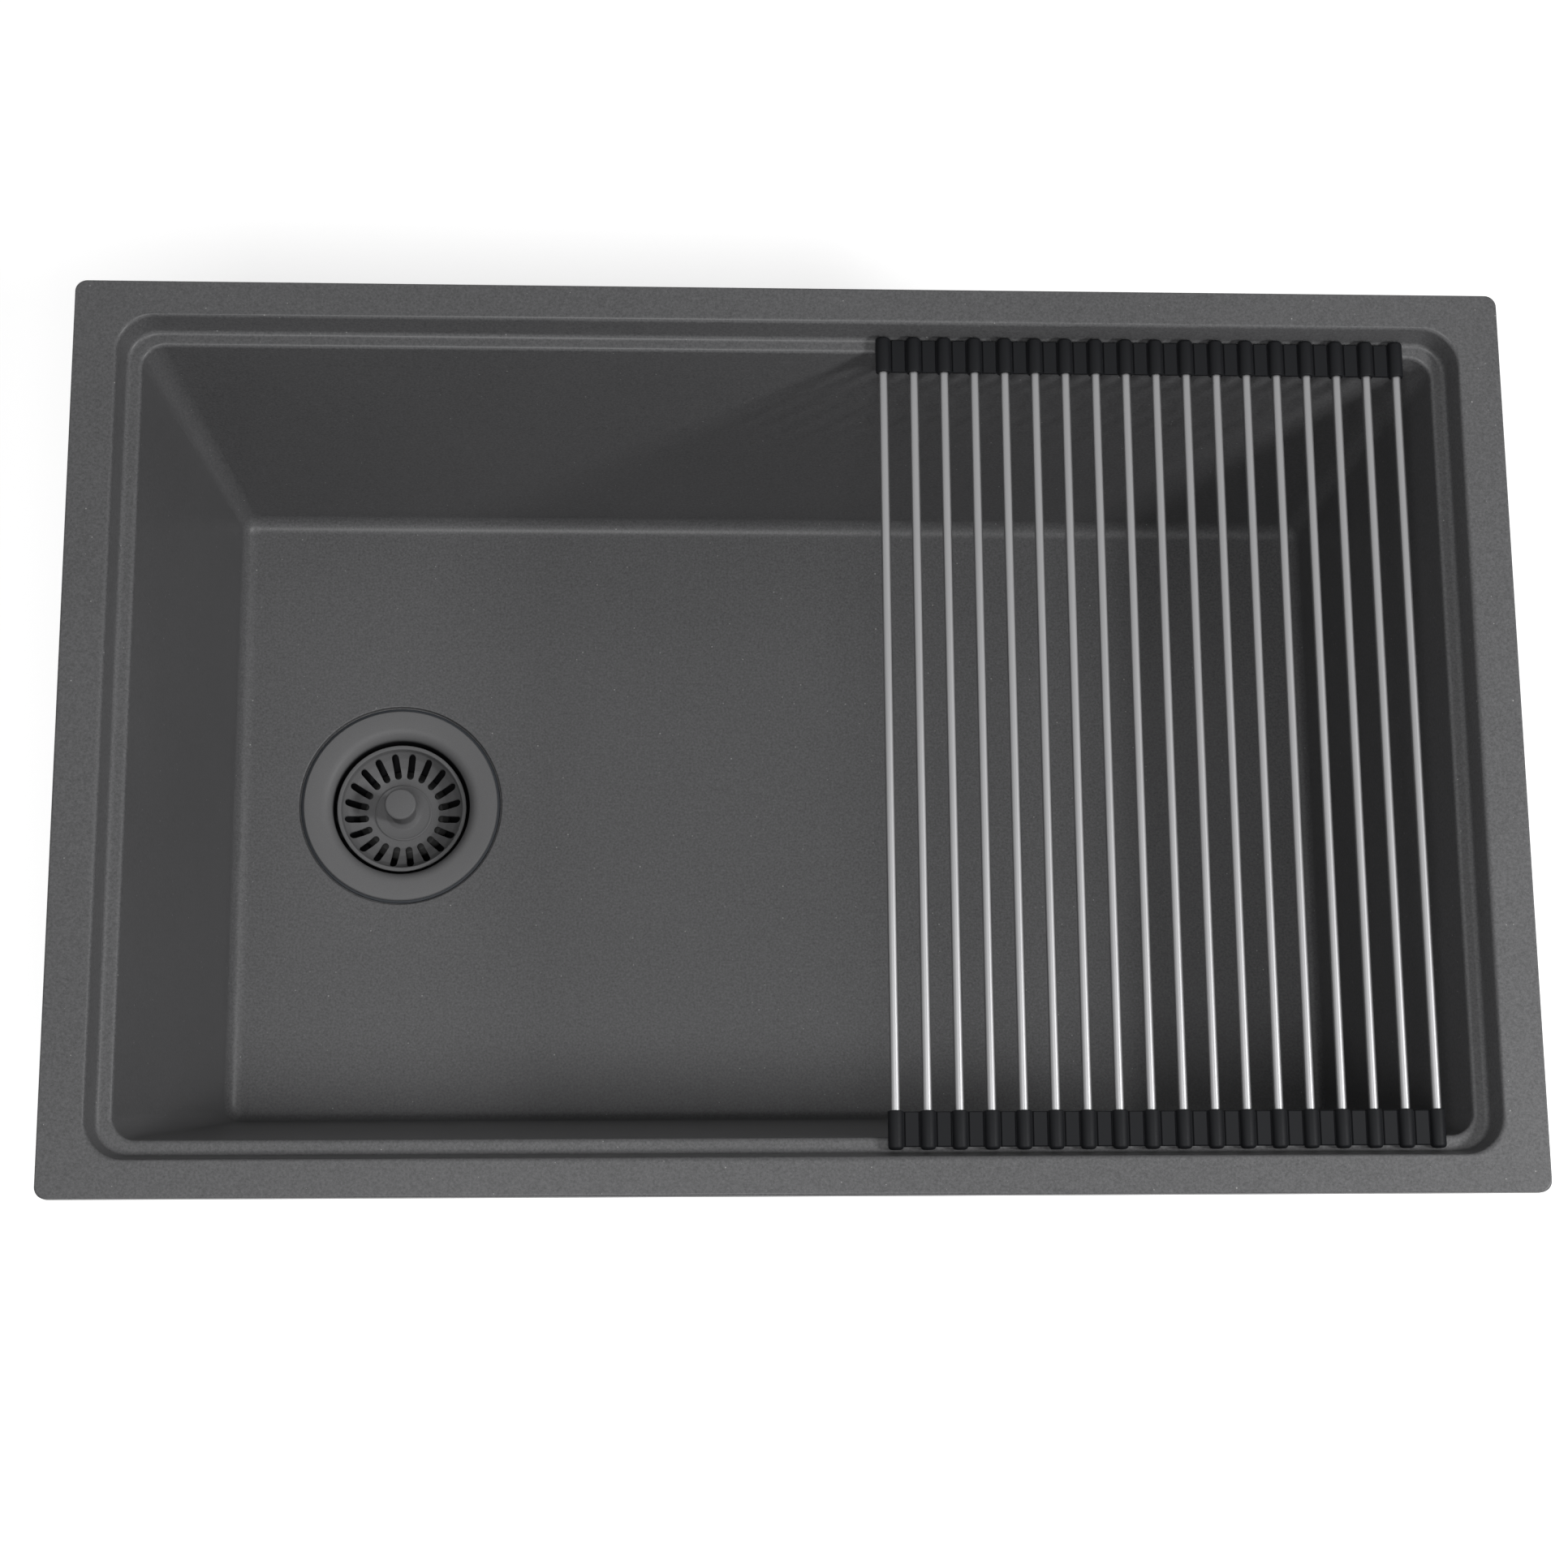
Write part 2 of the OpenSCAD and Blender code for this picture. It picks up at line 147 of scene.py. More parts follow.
floor_level = cad_box[0][2]
floor_mesh = bpy.data.meshes.new("floor")
FLOOR_REACH = 12
floor_corners = [(x * FLOOR_REACH, y * FLOOR_REACH, floor_level)
                 for x, y in ((-1, -1), (1, -1), (1, 1), (-1, 1))]
floor_mesh.from_pydata(floor_corners, [], [(0, 1, 2, 3)])
floor = bpy.data.objects.new("floor", floor_mesh)
scene.collection.objects.link(floor)
paper = bpy.data.materials.new("pale_floor")
paper.use_nodes = True
shader = paper.node_tree.nodes["Principled BSDF"]
shader.inputs["Base Color"].default_value = (0.86, 0.86, 0.86, 1)
shader.inputs["Roughness"].default_value = 0.9
shader.inputs["Specular IOR Level"].default_value = 0.1
shader.inputs["Emission Color"].default_value = (1, 1, 1, 1)
LIFT = 0.75
lift = math_node(paper.node_tree, "MULTIPLY", seen_ray(paper.node_tree), LIFT)
paper.node_tree.links.new(lift, shader.inputs["Emission Strength"])
floor_mesh.materials.append(paper)


# ---- Basin ---------------------------------------------------------------------------
# One piece of quartz grains bound in resin, cast in a mould, with a flat rim, a ledge set
# into it all round, leaning walls and a pocket for the strainer. Its rim rests on the worktop.
MM = 0.001
rim_x, rim_y, rim_top = (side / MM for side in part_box("basin_rim")[1])
floor_t = 12
under_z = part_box("basin_bowl")[0].z / MM
floor_z = under_z + floor_t
strainer_low, strainer_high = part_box("strainer_body")
drain = (strainer_low + strainer_high) / 2
RIM_SIDE, RIM_FRONT = 23, 19.5
STEP_H, STEP_LEAN, LEDGE_W = 16, 3.2, 7.8
LEAN_SIDE, LEAN_FRONT = 28, 30.5
WALL_T = 9
SHOULDER_T, SHOULDER_H = 11, 10
ledge_z = rim_top - STEP_H
open_x, open_y = rim_x - RIM_SIDE, rim_y - RIM_FRONT
mouth_x, mouth_y = open_x - STEP_LEAN - LEDGE_W, open_y - STEP_LEAN - LEDGE_W
foot_x, foot_y = mouth_x - LEAN_SIDE, mouth_y - LEAN_FRONT
POCKET_R, POCKET_H, DRAIN_HOLE_R = 59.5, 3, 44.5
LONG_STEPS, SHORT_STEPS, CORNER_STEPS = 72, 46, 12
SHARP = 38


def frame_ring(x, y, corner, z):
    """Points round a rectangle of half sizes x and y with round corners, in millimetres."""
    arc = np.radians(np.linspace(0, 90, CORNER_STEPS + 1))
    # each corner's signs, and the way and the steps along the side that follows it
    corners = ((1, 1, (-1, 0), LONG_STEPS), (-1, 1, (0, -1), SHORT_STEPS),
               (-1, -1, (1, 0), LONG_STEPS), (1, -1, (0, 1), SHORT_STEPS))
    points = []
    for turn, (sign_x, sign_y, ahead, steps) in enumerate(corners):
        angle = arc + turn * math.pi / 2
        centre = np.array([sign_x * (x - corner), sign_y * (y - corner)])
        curve = centre + corner * np.stack([np.cos(angle), np.sin(angle)], axis=1)
        run = 2 * ((x, y)[turn % 2] - corner)
        side = curve[-1] + np.outer(np.linspace(0, run, steps + 1)[1:-1], ahead)
        points += [curve, side]
    points = np.concatenate(points)
    return np.column_stack([points, np.full(len(points), z)])


# how far a round's curve is drawn into its corner, and where the ring beside it lies
BULGE, BESIDE = 0.55, 1.12


def rounded(keys):
    """Rings along a closed path of key rings, each given as (ring, rounding, steps of its round)."""
    rings = []
    for place, (ring, rounding, steps) in enumerate(keys):
        if not rounding:
            rings.append(ring)
            continue
        ends = []
        for near in (keys[place - 1][0], keys[(place + 1) % len(keys)][0]):
            way = near - ring
            ends.append(way / np.linalg.norm(way, axis=1)[:, None])
        start, end = (ring + rounding * way for way in ends)
        inner = (1 - BULGE) * start + BULGE * ring
        outer = (1 - BULGE) * end + BULGE * ring
        # a ring just before and after each round keeps the flats beside it flat
        rings.append(ring + BESIDE * rounding * ends[0])
        for t in np.linspace(0, 1, steps + 1):
            rings.append((1 - t)**3 * start + 3 * (1 - t)**2 * t * inner
                         + 3 * (1 - t) * t**2 * outer + t**3 * end)
        rings.append(ring + BESIDE * rounding * ends[1])
    return rings


def skin(name, rings, closed=True):
    """A mesh over rings of points in millimetres. Where a ring shrinks to a point it is merged."""
    count = len(rings[0])
    faces = []
    for row in range(len(rings) if closed else len(rings) - 1):
        a, b = row * count, (row + 1) % len(rings) * count
        faces += [(a + i, a + (i + 1) % count, b + (i + 1) % count, b + i) for i in range(count)]
    mesh = bpy.data.meshes.new(name)
    mesh.from_pydata((np.concatenate(rings) * MM).tolist(), [], faces)
    return tidied(mesh)


def tidied(mesh):
    """Doubles merged, faces pointing outwards and curved faces shaded smooth."""
    work = bmesh.new()
    work.from_mesh(mesh)
    bmesh.ops.remove_doubles(work, verts=work.verts, dist=1e-7)
    bmesh.ops.dissolve_degenerate(work, edges=work.edges, dist=1e-7)
    bmesh.ops.recalc_face_normals(work, faces=work.faces)
    work.to_mesh(mesh)
    work.free()
    smooth(mesh)
    return mesh


def smooth(mesh):
    """Smooth shading, apart from the edges that turn by more than SHARP degrees."""
    mesh.polygons.foreach_set("use_smooth", [True] * len(mesh.polygons))
    mesh.set_sharp_from_angle(angle=math.radians(SHARP))


def piece(name, mesh, finish, body, nodes):
    """An object for a finished mesh, with its finish, the body it rides on and what it replaces."""
    made = bpy.data.objects.new(name, mesh)
    mesh.materials.clear()
    mesh.materials.append(finish)
    scene.collection.objects.link(made)
    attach(made, body)
    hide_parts(*nodes)


floor_edge = frame_ring(foot_x - 10.5, foot_y - 10.5, 1.5, floor_z)
under_edge = frame_ring(foot_x - 19, foot_y - 19, 2, under_z)
drain_axis = np.array([drain.x, drain.y]) / MM
spokes = floor_edge[:, :2] - drain_axis
spokes = spokes / np.linalg.norm(spokes, axis=1)[:, None]


def drain_ring(radius, z):
    """Points round the drain, one for each point round the bowl's floor."""
    return np.column_stack([drain_axis + radius * spokes, np.full(len(spokes), z)])


shoulder_z = ledge_z - SHOULDER_H
shoulder_x, shoulder_y = open_x + SHOULDER_T, open_y + SHOULDER_T
basin_mesh = skin("basin", rounded([
    # the underside, from the drain's hole outwards and up
    (drain_ring(DRAIN_HOLE_R, under_z), 0.8, 3),
    (under_edge, 0, 0),
    (frame_ring(foot_x + 7.6, foot_y + 7.6, 18, under_z), 16, 10),
    (frame_ring(mouth_x + WALL_T, mouth_y + WALL_T, 21, shoulder_z), 3, 4),
    (frame_ring(shoulder_x, shoulder_y, 25, shoulder_z), 2, 4),
    (frame_ring(shoulder_x, shoulder_y, 25, 0), 2, 4),
    (frame_ring(rim_x, rim_y, 6, 0), 0.8, 3),
    # the rim, the ledge and the inside of the bowl
    (frame_ring(rim_x, rim_y, 6, rim_top), 1.3, 5),
    (frame_ring(open_x, open_y, 20, rim_top), 2.2, 6),
    (frame_ring(open_x - STEP_LEAN, open_y - STEP_LEAN, 17, ledge_z), 2.4, 6),
    (frame_ring(mouth_x, mouth_y, 12, ledge_z), 2.0, 6),
    (frame_ring(foot_x, foot_y, 9, floor_z), 8, 12),
    (floor_edge, 0, 0),
    (drain_ring(POCKET_R, floor_z), 0.7, 3),
    (drain_ring(POCKET_R, floor_z - POCKET_H), 0.5, 3),
    (drain_ring(DRAIN_HOLE_R, floor_z - POCKET_H), 0.6, 3),
]))


def material(name, metallic=0.0, **constants):
    """A material with its Principled shader and the place on the piece, ready for its pattern."""
    made = bpy.data.materials.new(name)
    made.use_nodes = True
    tree = made.node_tree
    principled = tree.nodes["Principled BSDF"]
    principled.inputs["Metallic"].default_value = metallic
    for key, value in constants.items():
        principled.inputs[key.replace("_", " ")].default_value = value
    place = add(tree, "ShaderNodeTexCoord").outputs["Object"]
    return made, tree, principled, place


def group(name, inputs, outputs, kind="ShaderNodeTree"):
    """An empty node group with its sockets, each input given as (name, kind, value)."""
    made = bpy.data.node_groups.new(name, kind)
    for title, sort, value in inputs:
        socket = made.interface.new_socket(title, in_out="INPUT", socket_type="NodeSocket" + sort)
        if value is not None:
            socket.default_value = value
    for title, sort in outputs:
        made.interface.new_socket(title, in_out="OUTPUT", socket_type="NodeSocket" + sort)
    return made, made.nodes.new("NodeGroupInput").outputs, made.nodes.new("NodeGroupOutput").inputs


def swing(tree, value, amount):
    """A value that runs round one half, turned into one round zero and times an amount."""
    return math_node(tree, "MULTIPLY", math_node(tree, "SUBTRACT", value, 0.5), amount)


# fine grains, bright specks in about a quarter of the cells and broad clouding, as a shade
# round 1, a mask of the specks and a height
grain, given, put = group(
    "grain",
    [("Vector", "Vector", None), ("Grains", "Float", 900.0), ("Contrast", "Float", 0.2),
     ("Specks", "Float", 260.0), ("Speck Size", "Float", 0.0), ("Cloud", "Float", 0.1)],
    [("Shade", "Float"), ("Speck", "Float"), ("Height", "Float")])
fine = add(grain, "ShaderNodeTexNoise",
           {"Vector": given["Vector"], "Scale": given["Grains"], "Detail": 2.0, "Roughness": 0.7})
cloud = add(grain, "ShaderNodeTexNoise", {"Vector": given["Vector"], "Scale": 7.0, "Detail": 3.0})
cells = add(grain, "ShaderNodeTexVoronoi", {"Vector": given["Vector"], "Scale": given["Specks"]})
luck = add(grain, "ShaderNodeSeparateColor", {"Color": cells.outputs["Color"]})
lucky = math_node(grain, "GREATER_THAN", luck.outputs["Red"], 0.72)
reach = math_node(grain, "MULTIPLY", given["Speck Size"], luck.outputs["Green"])
inside = add(grain, "ShaderNodeMapRange",
             {"Value": cells.outputs["Distance"], "From Min": 0.0, "From Max": reach,
              "To Min": 1.0, "To Max": 0.0}, interpolation_type="SMOOTHSTEP")
speck = math_node(grain, "MULTIPLY", lucky, inside.outputs[0])
shade = math_node(grain, "ADD", swing(grain, fine.outputs[0], given["Contrast"]),
                  swing(grain, cloud.outputs[0], given["Cloud"]))
grain.links.new(math_node(grain, "ADD", shade, 1.0), put["Shade"])
grain.links.new(speck, put["Speck"])
grain.links.new(fine.outputs[0], put["Height"])


def finished(tree, principled, colour, pattern, rough, relief):
    """Colour, roughness range and relief in millimetres, all following a pattern group."""
    base = add(tree, "ShaderNodeVectorMath", {0: colour, 1: pattern["Shade"]}, operation="MULTIPLY")
    tree.links.new(base.outputs[0], principled.inputs["Base Color"])
    # a noise runs mostly from one quarter to three quarters
    matt = add(tree, "ShaderNodeMapRange",
               {"Value": pattern["Height"], "From Min": 0.25, "From Max": 0.75,
                "To Min": rough[0], "To Max": rough[1]})
    tree.links.new(matt.outputs[0], principled.inputs["Roughness"])
    bump = add(tree, "ShaderNodeBump",
               {"Height": pattern["Height"], "Strength": 0.5, "Distance": relief * MM})
    tree.links.new(bump.outputs[0], principled.inputs["Normal"])
    return base.outputs[0]


COMPOSITE = (0.118, 0.118, 0.121)
SPECK = (0.50, 0.50, 0.49, 1)
composite, tree, principled, place = material("quartz_composite", Specular_IOR_Level=0.3)
use = add(tree, "ShaderNodeGroup",
          {"Vector": place, "Grains": 800.0, "Contrast": 1.3, "Cloud": 0.22, "Speck Size": 0.16},
          node_tree=grain)
base = finished(tree, principled, COMPOSITE, use.outputs, (0.32, 0.44), 0.06)
specked = add(tree, "ShaderNodeMix", {"Factor": use.outputs["Speck"], "A": base, "B": SPECK},
              data_type="RGBA")
tree.links.new(specked.outputs["Result"], principled.inputs["Base Color"])

# the bores for the ten inserts, under the shoulder
insert_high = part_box("threaded_inserts")[1]
INSERT_R = 3.5
FIXINGS_LONG, FIXINGS_SHORT = (-220, 0, 220), (-90, 90)
fixing_x, fixing_y = insert_high.x / MM - INSERT_R, insert_high.y / MM - INSERT_R
insert_top = insert_high.z / MM - shoulder_z


def circle(radius, z, centre, count):
    """Points round an upright axis, in millimetres."""
    turn = np.arange(count) * 2 * math.pi / count
    x, y = centre[0] + radius * np.cos(turn), centre[1] + radius * np.sin(turn)
    return np.column_stack([x, y, np.full(count, z)])


def turned(name, path, centre=(0, 0), count=128):
    """A path of (radius, height) turned round an upright axis, on which it may start and end."""
    return skin(name, [circle(radius, z, centre, count) for radius, z in path], closed=path[0][0] > 0)


def held(name, mesh):
    """An object that holds a mesh while it is worked on."""
    made = bpy.data.objects.new(name, mesh)
    scene.collection.objects.link(made)
    return made


def evaluated(holder):
    """The plain mesh that an object's modifier makes. The object goes."""
    mesh = bpy.data.meshes.new_from_object(holder.evaluated_get(bpy.context.evaluated_depsgraph_get()))
    holder.modifiers.clear()
    bpy.data.objects.remove(holder)
    return mesh


def grown(name, tree, values, host=None):
    """What a Geometry Nodes tree makes with these values for its named inputs."""
    holder = held(name, host or bpy.data.meshes.new(name))
    modifier = holder.modifiers.new("grown", "NODES")
    modifier.node_group = tree
    for socket in tree.interface.items_tree:
        if socket.name in values:
            modifier[socket.identifier] = values[socket.name]
    mesh = evaluated(holder)
    smooth(mesh)
    return mesh


def carved(name, mesh, cutter):
    """A mesh with another taken out of it."""
    block, tool = held(name, mesh), held("cutter", cutter)
    modifier = block.modifiers.new("cut", "BOOLEAN")
    modifier.object = tool
    modifier.operation = "DIFFERENCE"
    modifier.solver = "MANIFOLD"
    result = evaluated(block)
    bpy.data.objects.remove(tool)
    smooth(result)
    return result


def placing_tree(name, extra):
    """A Geometry Nodes tree with its inputs, its output and the template that it is to copy."""
    tree, given, put = group(
        name,
        [("Geometry", "Geometry", None), ("Template", "Object", None), ("Finish", "Material", None), *extra],
        [("Geometry", "Geometry")], "GeometryNodeTree")
    shape = add(tree, "GeometryNodeObjectInfo", {"Object": given["Template"]}).outputs["Geometry"]
    return tree, given, put, shape


def end_tree(tree, given, put, copies):
    """The copies as real geometry with their finish, to the tree's output."""
    real = add(tree, "GeometryNodeRealizeInstances", {"Geometry": copies})
    done = add(tree, "GeometryNodeSetMaterial", {"Geometry": real.outputs[0], "Material": given["Finish"]})
    tree.links.new(done.outputs[0], put["Geometry"])


# a copy on each point of a mesh, turned by the point's own angle
set_out, given, put, shape = placing_tree("set_out", [])
angle = add(set_out, "GeometryNodeInputNamedAttribute", {"Name": "turn"}).outputs["Attribute"]
upright = add(set_out, "ShaderNodeCombineXYZ", {"Z": angle}).outputs[0]
copies = add(set_out, "GeometryNodeInstanceOnPoints",
             {"Points": given["Geometry"], "Instance": shape, "Rotation": upright})
end_tree(set_out, given, put, copies.outputs[0])


def at_fixings(name, template, finish):
    """Copies of a template under the shoulder, each turned so that its +X points outwards."""
    places = []
    for side in (-1, 1):
        places += [((x, side * fixing_y, shoulder_z), side * math.pi / 2) for x in FIXINGS_LONG]
        places += [((side * fixing_x, y, shoulder_z), (1 - side) * math.pi / 2) for y in FIXINGS_SHORT]
    host = bpy.data.meshes.new(name)
    host.from_pydata([tuple(MM * c for c in point) for point, turn in places], [], [])
    turns = host.attributes.new("turn", "FLOAT", "POINT")
    turns.data.foreach_set("value", [turn for point, turn in places])
    one = held("template", template)
    mesh = grown(name, set_out, {"Template": one, "Finish": finish}, host)
    bpy.data.objects.remove(one)
    return mesh


bore = turned("insert_bore", [(0, -1), (INSERT_R, -1), (INSERT_R, insert_top), (0, insert_top)], count=48)
basin_mesh = carved("basin", basin_mesh, at_fixings("insert_bores", bore, composite))
piece("basin_casting", basin_mesh, composite, "basin", ["basin_rim", "basin_bowl"])


# ---- Inserts, clips and screws ---------------------------------------------------------
# Ten brass inserts are moulded into the underside of the shoulder. A zinc-plated steel clip
# hangs under each on a cross-head screw, and its foot grips the underside of the worktop.
THREAD_R = 2
CLIP_T, CLIP_W, CLIP_DROP = 2, 20, 12
CLIP_BACK, CLIP_FACE, CLIP_REACH = -4.5, 5.5, 11.5
INNER_BEND = 0.8
OUTER_BEND = CLIP_T + INNER_BEND
HEAD_R, HEAD_T, SHANK_R = 3.2, 2.6, 1.9
CROSS_LONG, CROSS_WIDE, CROSS_DEEP = 2, 0.4, 1.2
head_z = -CLIP_T - HEAD_T
screw_end = insert_top - 1.5


def outline(*corners):
    """A closed path through corners given as (across, up, rounding), each round as an arc."""
    path = []
    for k, (*here, radius) in enumerate(corners):
        here = np.array(here, float)
        ways = [np.array(corners[near % len(corners)][:2]) - here for near in (k - 1, k + 1)]
        reach = min(np.linalg.norm(way) for way in ways)
        back, ahead = (way / np.linalg.norm(way) for way in ways)
        half = math.acos(max(-1, min(1, back @ ahead))) / 2
        if not radius or half > 1.5:
            path.append(here)
            continue
        run = min(radius / math.tan(half), 0.49 * reach)
        middle = here + (back + ahead) / np.linalg.norm(back + ahead) * run / math.cos(half)
        start, end = here + back * run - middle, here + ahead * run - middle
        sweep = math.pi - 2 * half
        for t in np.linspace(0, 1, max(3, round(sweep / 0.25)) + 1):
            arm = (math.sin((1 - t) * sweep) * start + math.sin(t * sweep) * end) / math.sin(sweep)
            path.append(middle + arm)
    return np.array(path)


def extruded(name, path, low, high, bevel=0.3, axes=(0, 1, 2)):
    """A bar with a closed path as its section, bevelled at both ends. The last axis runs along it."""
    along = np.roll(path, -1, axis=0) - np.roll(path, 1, axis=0)
    normal = np.column_stack([along[:, 1], -along[:, 0]])
    normal /= np.linalg.norm(normal, axis=1)[:, None]
    area = np.sum(path[:, 0] * np.roll(path[:, 1], -1) - np.roll(path[:, 0], -1) * path[:, 1])
    smaller = path - bevel * normal * math.copysign(1, area)
    points = []
    for section, level in ((smaller, low), (path, low + bevel), (path, high - bevel), (smaller, high)):
        ring = np.zeros((len(path), 3))
        ring[:, axes[0]], ring[:, axes[1]], ring[:, axes[2]] = section[:, 0], section[:, 1], level
        points.append(ring)
    count = len(path)
    faces = [(row * count + i, row * count + (i + 1) % count, (row + 1) * count + (i + 1) % count,
              (row + 1) * count + i) for row in range(3) for i in range(count)]
    faces += [tuple(range(count)), tuple(range(3 * count, 4 * count))]
    mesh = bpy.data.meshes.new(name)
    mesh.from_pydata((np.concatenate(points) * MM).tolist(), [], faces)
    return tidied(mesh)


def grainy(name, colour, rough, relief, metallic, pattern, **constants):
    """A finish with the fine grain of a plated, moulded or coated surface."""
    made, tree, principled, place = material(name, metallic, **constants)
    use = add(tree, "ShaderNodeGroup", {"Vector": place, **pattern}, node_tree=grain)
    finished(tree, principled, colour, use.outputs, rough, relief)
    return made


zinc = grainy("zinc_plate", (0.56, 0.57, 0.58), (0.30, 0.46), 0.01, 1.0,
              {"Grains": 420.0, "Contrast": 0.35, "Cloud": 0.5})
brass = grainy("insert_brass", (0.66, 0.47, 0.20), (0.28, 0.42), 0.01, 1.0,
               {"Grains": 600.0, "Contrast": 0.3, "Cloud": 0.3})
insert = turned("insert", outline(
    (THREAD_R, 0.1, 0.3), (INSERT_R - 0.02, 0.1, 0.3), (INSERT_R - 0.02, insert_top, 0.3),
    (THREAD_R, insert_top, 0.3)), count=48)
piece("inserts", at_fixings("inserts", insert, brass), brass, "basin", ["threaded_inserts"])

clip = extruded("clip", outline(
    (CLIP_BACK, -0.02, 0.4), (CLIP_FACE, -0.02, OUTER_BEND), (CLIP_FACE, -CLIP_DROP, INNER_BEND),
    (CLIP_REACH, -CLIP_DROP, 0.6), (CLIP_REACH, -CLIP_DROP - CLIP_T, 0.6),
    (CLIP_FACE - CLIP_T, -CLIP_DROP - CLIP_T, OUTER_BEND), (CLIP_FACE - CLIP_T, -CLIP_T, INNER_BEND),
    (CLIP_BACK, -CLIP_T, 0.4)), -CLIP_W / 2, CLIP_W / 2, axes=(0, 2, 1))
piece("clips", at_fixings("clips", clip, zinc), zinc, "basin", ["mounting_clips"])

screw = turned("screw", outline(
    (0, head_z, 0), (HEAD_R, head_z, 1.1), (HEAD_R, -CLIP_T, 0.1), (SHANK_R, -CLIP_T, 0.1),
    (SHANK_R, screw_end, 0.5), (0, screw_end, 0)), count=48)
for x, y in ((CROSS_LONG, CROSS_WIDE), (CROSS_WIDE, CROSS_LONG)):
    slot = extruded("slot", np.array([(-x, -y), (x, -y), (x, y), (-x, y)]),
                    head_z - 1, head_z + CROSS_DEEP, 0.05)
    screw = carved("screw", screw, slot)
piece("screws", at_fixings("screws", screw, zinc), zinc, "basin", ["clip_screws"])


# ---- Strainer body ---------------------------------------------------------------------
# A pressed cup with a wide flange, coated to match the basin, screwed down on a rubber ring.
# It narrows to a seat for the basket and to an outlet with a cross that guides the post.
CUP_R, CUP_IN, FLANGE_R = 42.4, 40.4, 57.15
CUP_END, SEAT_Z, NECK_Z, NIPPLE_Z = -31.2, -38.2, -44.2, -72.2
OUTLET_R, SEAT_R, NIPPLE_R = 19.5, 24, 23.9
HUB_Z, HUB_T, HUB_R, POST_R = -50.2, 6, 7, 3.92
hub_bore = POST_R + 0.08
ARMS, ARM_HALF, ARM_ROUND = 4, 1.5, 0.7


def at_drain(name, path, count=128):
    """A path of (radius, height from the bowl's floor) turned round the drain's axis."""
    return turned(name, [(radius, z + floor_z) for radius, z in path], drain_axis, count)


# copies of a template set round a centre
ring_of, given, put, shape = placing_tree(
    "ring_of", [("Count", "Int", 8), ("First Angle", "Float", 0.0), ("Centre", "Vector", (0, 0, 0))])
points = add(ring_of, "GeometryNodePoints", {"Count": given["Count"], "Position": given["Centre"]})
index = add(ring_of, "GeometryNodeInputIndex").outputs[0]
turn = math_node(ring_of, "MULTIPLY", index, math_node(ring_of, "DIVIDE", 2 * math.pi, given["Count"]))
turn = math_node(ring_of, "ADD", turn, given["First Angle"])
upright = add(ring_of, "ShaderNodeCombineXYZ", {"Z": turn}).outputs[0]
copies = add(ring_of, "GeometryNodeInstanceOnPoints",
             {"Points": points.outputs[0], "Instance": shape, "Rotation": upright})
end_tree(ring_of, given, put, copies.outputs[0])


def round_drain(name, template, count, finish, first=0.0):
    """Copies of a template, made about the world's Z axis, set round the drain's axis."""
    one = held("template", template)
    mesh = grown(name, ring_of, {"Template": one, "Finish": finish, "Count": count, "First Angle": first,
                                 "Centre": (drain.x, drain.y, floor_z * MM)})
    bpy.data.objects.remove(one)
    return mesh


def joined(name, *meshes):
    """Finished meshes as one mesh."""
    work = bmesh.new()
    for mesh in meshes:
        work.from_mesh(mesh)
    whole = bpy.data.meshes.new(name)
    work.to_mesh(whole)
    work.free()
    smooth(whole)
    return whole


def thread(radius, low, high, pitch=1.6, deep=0.35):
    """Corners of a thread's ridges down the outside of a tube."""
    corners = []
    for k in range(int((high - low) / pitch)):
        corners += [(radius, high - (k + 0.2) * pitch, 0.1), (radius - deep, high - (k + 0.7) * pitch, 0.1)]
    return corners


# the coat of the strainer, with painted shade: its colour goes nearly black down its throat and under its
# flange, where shade falls
COAT_GRAIN = {"Grains": 1500.0, "Contrast": 0.30, "Cloud": 0.12}
COAT_ROUGH, COAT_RELIEF, COAT_SHINE = (0.40, 0.52), 0.03, 0.15
SHADE_FROM, SHADE_TO = -3, -10
PAINTED_THROAT_SHADE = (0.008, 0.008, 0.009, 1)
throat, tree, principled, place = material("coat_with_painted_throat_shade", Specular_IOR_Level=COAT_SHINE)
use = add(tree, "ShaderNodeGroup", {"Vector": place, **COAT_GRAIN}, node_tree=grain)
base = finished(tree, principled, (0.180, 0.180, 0.183), use.outputs, COAT_ROUGH, COAT_RELIEF)
height = add(tree, "ShaderNodeSeparateXYZ", {"Vector": place}).outputs["Z"]
# painted shade: the base colour is mixed towards near black from 3 mm to 10 mm below the bowl's floor
painted_shade_depth = add(tree, "ShaderNodeMapRange",
            {"Value": height, "From Min": (floor_z + SHADE_FROM) * MM,
             "From Max": (floor_z + SHADE_TO) * MM}, interpolation_type="SMOOTHSTEP")
with_painted_shade = add(tree, "ShaderNodeMix", {"Factor": painted_shade_depth.outputs[0], "A": base, "B": PAINTED_THROAT_SHADE},
               data_type="RGBA")
tree.links.new(with_painted_shade.outputs["Result"], principled.inputs["Base Color"])
strainer = at_drain("strainer", outline(
    # inside, from the outlet up
    (OUTLET_R, NIPPLE_Z, 0.4), (OUTLET_R, NECK_Z, 3), (SEAT_R, SEAT_Z - 2, 1), (SEAT_R, SEAT_Z, 1.2),
    (CUP_IN - 4, SEAT_Z + 10, 3), (CUP_IN, SEAT_Z + 15, 4), (CUP_IN, 0.2, 6.6),
    (FLANGE_R - 0.6, 0.2, 0.6), (FLANGE_R, -0.5, 0.6), (FLANGE_R, -1.8, 0.3),
    # outside, down again
    (CUP_R, -1.8, 0.5), *thread(CUP_R, CUP_END, -3), (CUP_R, CUP_END, 0.5), (CUP_R - 6, CUP_END - 4, 4),
    (SEAT_R + 2, SEAT_Z - 2, 2), (NIPPLE_R, NECK_Z, 1.5), *thread(NIPPLE_R, NIPPLE_Z + 1, NECK_Z - 3),
    (NIPPLE_R, NIPPLE_Z, 0.4)), 160)
